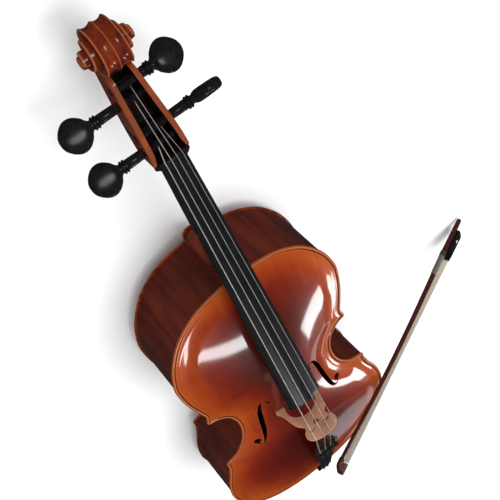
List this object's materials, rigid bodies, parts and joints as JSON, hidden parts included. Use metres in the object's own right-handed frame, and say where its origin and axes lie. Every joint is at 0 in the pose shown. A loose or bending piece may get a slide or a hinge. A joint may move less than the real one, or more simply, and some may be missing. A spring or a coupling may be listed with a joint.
{
  "type": "cello with bow",
  "caption": "Large bowed string instrument on its arched back: arched plates on deep ribs, neck with pegbox and scroll, fingerboard, bridge, strings, endpin, and a bow leaning on its edge.",
  "frame": {"origin": "bottom centre of the box around the cello and its bow, so the back rests on Z = 0", "axes": "+X towards the treble side, +Y from the endpin towards the scroll, +Z out of the belly"},
  "size_m": [0.7848, 1.274, 0.2685],
  "materials": {
    "varnished_spruce": "gloss",
    "varnished_maple": "gloss",
    "bare_wood": "matte",
    "bridge_maple": "satin",
    "ebony": "satin",
    "string_steel": "polished",
    "bright_steel": "polished",
    "black_plastic": "matte",
    "bow_wood": "gloss",
    "horsehair": "matte",
    "pearl": "gloss",
    "leather": "matte",
    "brass": "satin"
  },
  "bodies": {
    "cello": {"top_plate": "varnished_spruce", "back_plate": "varnished_maple", "upper_rib_bass": "varnished_maple", "upper_rib_treble": "varnished_maple", "waist_rib_bass": "varnished_maple", "waist_rib_treble": "varnished_maple", "lower_rib_bass": "varnished_maple", "lower_rib_treble": "varnished_maple", "neck_block": "bare_wood", "end_block": "bare_wood", "upper_corner_block_bass": "bare_wood", "upper_corner_block_treble": "bare_wood", "lower_corner_block_bass": "bare_wood", "lower_corner_block_treble": "bare_wood", "top_lining": "bare_wood", "back_lining": "bare_wood", "bass_bar": "bare_wood", "sound_post": "bare_wood", "saddle": "ebony", "neck_and_scroll": "varnished_maple", "fingerboard": "ebony", "nut": "ebony", "bridge": "bridge_maple", "tailpiece": "ebony", "tail_cord": "black_plastic", "endpin_plug": "ebony", "string_c": "string_steel", "string_g": "string_steel", "string_d": "string_steel", "string_a": "string_steel"},
    "peg_c": {"peg_c": "ebony"},
    "peg_g": {"peg_g": "ebony"},
    "peg_d": {"peg_d": "ebony"},
    "peg_a": {"peg_a": "ebony"},
    "tuner_screw_c": {"tuner_screw_c": "black_plastic"},
    "tuner_lever_c": {"tuner_lever_c": "black_plastic"},
    "tuner_screw_g": {"tuner_screw_g": "black_plastic"},
    "tuner_lever_g": {"tuner_lever_g": "black_plastic"},
    "tuner_screw_d": {"tuner_screw_d": "black_plastic"},
    "tuner_lever_d": {"tuner_lever_d": "black_plastic"},
    "tuner_screw_a": {"tuner_screw_a": "black_plastic"},
    "tuner_lever_a": {"tuner_lever_a": "black_plastic"},
    "endpin": {"endpin_rod": "bright_steel"},
    "thumbscrew": {"endpin_thumbscrew": "bright_steel"},
    "bow": {"bow_stick": "bow_wood", "bow_head_plate": "pearl", "bow_hair": "horsehair", "bow_lapping": "bright_steel", "bow_thumb_grip": "leather"},
    "bow_frog": {"bow_frog": "ebony", "bow_ferrule": "bright_steel", "bow_pearl_slide": "pearl", "bow_frog_eye_near": "pearl", "bow_frog_eye_far": "pearl", "bow_frog_eyelet": "brass"},
    "bow_button": {"bow_screw_button": "bright_steel"}
  },
  "joints": [
    {"name": "peg_c_turn", "type": "hinge", "parent": "cello", "child": "peg_c", "pos_m": [-0.1894, 0.463, 0.1176], "axis": [1, 0, 0], "continuous": true},
    {"name": "peg_g_turn", "type": "hinge", "parent": "cello", "child": "peg_g", "pos_m": [-0.1894, 0.525, 0.0876], "axis": [1, 0, 0], "continuous": true},
    {"name": "peg_d_turn", "type": "hinge", "parent": "cello", "child": "peg_d", "pos_m": [-0.1894, 0.543, 0.0801], "axis": [1, 0, 0], "continuous": true},
    {"name": "peg_a_turn", "type": "hinge", "parent": "cello", "child": "peg_a", "pos_m": [-0.1894, 0.481, 0.1076], "axis": [1, 0, 0], "continuous": true},
    {"name": "tuner_c_screw", "type": "hinge", "parent": "cello", "child": "tuner_screw_c", "pos_m": [-0.2089, -0.3602, 0.22401], "axis": [0, 0.2794, -0.9602], "range_deg": [0, 1440]},
    {"name": "tuner_c_lever", "type": "hinge", "parent": "cello", "child": "tuner_lever_c", "pos_m": [-0.2089, -0.34288, 0.22176], "axis": [1, 0, 0], "range_deg": [0, 7.2]},
    {"name": "tuner_g_screw", "type": "hinge", "parent": "cello", "child": "tuner_screw_g", "pos_m": [-0.1959, -0.3602, 0.22401], "axis": [0, 0.2794, -0.9602], "range_deg": [0, 1440]},
    {"name": "tuner_g_lever", "type": "hinge", "parent": "cello", "child": "tuner_lever_g", "pos_m": [-0.1959, -0.34288, 0.22176], "axis": [1, 0, 0], "range_deg": [0, 7.2]},
    {"name": "tuner_d_screw", "type": "hinge", "parent": "cello", "child": "tuner_screw_d", "pos_m": [-0.1829, -0.3602, 0.22401], "axis": [0, 0.2794, -0.9602], "range_deg": [0, 1440]},
    {"name": "tuner_d_lever", "type": "hinge", "parent": "cello", "child": "tuner_lever_d", "pos_m": [-0.1829, -0.34288, 0.22176], "axis": [1, 0, 0], "range_deg": [0, 7.2]},
    {"name": "tuner_a_screw", "type": "hinge", "parent": "cello", "child": "tuner_screw_a", "pos_m": [-0.1699, -0.3602, 0.22401], "axis": [0, 0.2794, -0.9602], "range_deg": [0, 1440]},
    {"name": "tuner_a_lever", "type": "hinge", "parent": "cello", "child": "tuner_lever_a", "pos_m": [-0.1699, -0.34288, 0.22176], "axis": [1, 0, 0], "range_deg": [0, 7.2]},
    {"name": "endpin_slide", "type": "slide", "parent": "cello", "child": "endpin", "axis": [0, -1, 0], "range_m": [0, 0.35]},
    {"name": "endpin_clamp", "type": "hinge", "parent": "cello", "child": "thumbscrew", "pos_m": [-0.1894, -0.606, 0.0853], "axis": [1, 0, 0], "range_deg": [0, 720]},
    {"name": "bow_lift", "type": "slide", "parent": "cello", "child": "bow", "axis": [0, 0, 1], "range_m": [0, 0.4]},
    {"name": "bow_screw_turn", "type": "hinge", "parent": "bow", "child": "bow_button", "pos_m": [0.37633, -0.36698, 0.01217], "axis": [-0.9228, -0.1362, 0.3605], "range_deg": [0, 2050]},
    {"name": "bow_frog_slide", "type": "slide", "parent": "bow", "child": "bow_frog", "axis": [0.9228, 0.1362, -0.3605], "range_m": [0, 0.004]}
  ],
  "couplings": [
    {"joint": "tuner_c_lever", "follows": "tuner_c_screw", "ratio": 0.005},
    {"joint": "tuner_g_lever", "follows": "tuner_g_screw", "ratio": 0.005},
    {"joint": "tuner_d_lever", "follows": "tuner_d_screw", "ratio": 0.005},
    {"joint": "tuner_a_lever", "follows": "tuner_a_screw", "ratio": 0.005},
    {"joint": "bow_frog_slide", "follows": "bow_screw_turn", "m_per_rad": 0.000111}
  ]
}
